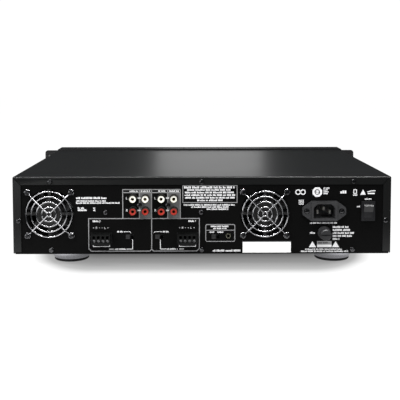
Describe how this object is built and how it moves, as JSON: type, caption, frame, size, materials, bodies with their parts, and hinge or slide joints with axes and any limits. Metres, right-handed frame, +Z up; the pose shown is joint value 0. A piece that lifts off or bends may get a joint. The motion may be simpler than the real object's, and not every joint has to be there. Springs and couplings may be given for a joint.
{
  "type": "two-zone power amplifier",
  "caption": "Rack-height two-zone audio power amplifier with exhaust fans, phono inputs and outputs, pluggable speaker terminals, mains inlet and rack ears.",
  "frame": {"origin": "on the floor under the middle of the overall box", "axes": "+X to the right seen from the front, +Y to the rear connectors, +Z up; left and right are as seen from the front"},
  "size_m": [0.4826, 0.337, 0.1033],
  "materials": {
    "black_sheet": "satin powder coat",
    "bezel_paint": "satin paint",
    "black_screw": "black oxide",
    "foot_shell": "silver grey gloss",
    "foot_rubber": "matte",
    "fan_plastic": "moulded",
    "guard_chrome": "bright plating",
    "socket_plastic": "moulded",
    "nickel": "nickel plating",
    "white_insert": "moulded",
    "red_insert": "moulded",
    "contact_brass": "plated",
    "terminal_plastic": "moulded",
    "screw_steel": "zinc plated",
    "switch_plastic": "moulded",
    "inlet_plastic": "moulded",
    "fuse_plastic": "moulded",
    "fuse_glass": "clear",
    "rocker_plastic": "moulded",
    "label_paper": "blank",
    "board_laminate": "solder resist",
    "heatsink_aluminium": "black anodised",
    "transistor_epoxy": "moulded",
    "core_steel": "wound and taped",
    "capacitor_can": "sleeved",
    "spacer_brass": "plain",
    "lens_plastic": "clear"
  },
  "bodies": {
    "chassis": {"chassis_base": "black_sheet", "rear_panel": "black_sheet", "top_cover": "black_sheet", "front_bezel": "bezel_paint", "rack_ear_left": "black_sheet", "rack_ear_right": "black_sheet", "case_screws": "black_screw", "ear_screws": "black_screw", "foot_front_left": "foot_shell", "foot_front_right": "foot_shell", "foot_rear_left": "foot_shell", "foot_rear_right": "foot_shell", "foot_pads": "foot_rubber", "foot_screws": "screw_steel", "fan_frame_left": "fan_plastic", "fan_frame_right": "fan_plastic", "fan_guards": "guard_chrome", "fan_screws": "black_screw", "socket_block_zone_1": "socket_plastic", "socket_block_zone_2": "socket_plastic", "socket_sleeves": "nickel", "socket_inserts_white": "white_insert", "socket_inserts_red": "red_insert", "socket_contacts": "contact_brass", "terminal_header_zone_1": "terminal_plastic", "terminal_header_zone_2": "terminal_plastic", "terminal_pins": "contact_brass", "zone_1_switch_body": "switch_plastic", "zone_2_switch_body": "switch_plastic", "trigger_switch_body": "switch_plastic", "trigger_jack": "switch_plastic", "trigger_bushing": "nickel", "mains_inlet": "inlet_plastic", "inlet_pins": "nickel", "inlet_screws": "black_screw", "fuse_holder": "fuse_plastic", "rocker_frame": "rocker_plastic", "serial_label": "label_paper", "input_board": "board_laminate", "amplifier_board": "board_laminate", "board_spacers": "spacer_brass", "reservoir_capacitors": "capacitor_can", "heatsink_left": "heatsink_aluminium", "heatsink_right": "heatsink_aluminium", "power_transistors": "transistor_epoxy", "toroidal_transformer": "core_steel", "transformer_clamp": "screw_steel", "status_lenses": "lens_plastic"},
    "fan_rotor_left": {"fan_impeller_left": "fan_plastic"},
    "fan_rotor_right": {"fan_impeller_right": "fan_plastic"},
    "rocker_key": {"power_rocker": "rocker_plastic"},
    "zone_1_knob": {"zone_1_switch_knob": "switch_plastic"},
    "zone_2_knob": {"zone_2_switch_knob": "switch_plastic"},
    "trigger_knob": {"trigger_switch_knob": "switch_plastic"},
    "zone_1_plug": {"terminal_plug_zone_1": "terminal_plastic", "clamp_screws_zone_1": "screw_steel"},
    "zone_2_plug": {"terminal_plug_zone_2": "terminal_plastic", "clamp_screws_zone_2": "screw_steel"},
    "fuse_carrier": {"fuse_cap": "fuse_plastic", "fuse_link": "fuse_glass"}
  },
  "joints": [
    {"name": "fan_spin_left", "type": "hinge", "parent": "chassis", "child": "fan_rotor_left", "pos_m": [-0.0718, 0.14, 0.0583], "axis": [0, 1, 0], "continuous": true},
    {"name": "fan_spin_right", "type": "hinge", "parent": "chassis", "child": "fan_rotor_right", "pos_m": [0.1749, 0.14, 0.0583], "axis": [0, 1, 0], "continuous": true},
    {"name": "power_switch_tilt", "type": "hinge", "parent": "chassis", "child": "rocker_key", "pos_m": [-0.1899, 0.1522, 0.0612], "axis": [1, 0, 0], "range_deg": [0, 24]},
    {"name": "zone_1_mode_slide", "type": "slide", "parent": "chassis", "child": "zone_1_knob", "axis": [-1, 0, 0], "range_m": [0, 0.0042]},
    {"name": "zone_2_mode_slide", "type": "slide", "parent": "chassis", "child": "zone_2_knob", "axis": [-1, 0, 0], "range_m": [0, 0.0042]},
    {"name": "trigger_mode_slide", "type": "slide", "parent": "chassis", "child": "trigger_knob", "axis": [-1, 0, 0], "range_m": [0, 0.0042]},
    {"name": "zone_1_plug_pull", "type": "slide", "parent": "chassis", "child": "zone_1_plug", "axis": [0, 1, 0], "range_m": [0, 0.008]},
    {"name": "zone_2_plug_pull", "type": "slide", "parent": "chassis", "child": "zone_2_plug", "axis": [0, 1, 0], "range_m": [0, 0.008]},
    {"name": "fuse_cap_turn", "type": "hinge", "parent": "chassis", "child": "fuse_carrier", "pos_m": [-0.1399, 0.1543, 0.036], "axis": [0, 1, 0], "range_deg": [-90, 0]}
  ]
}
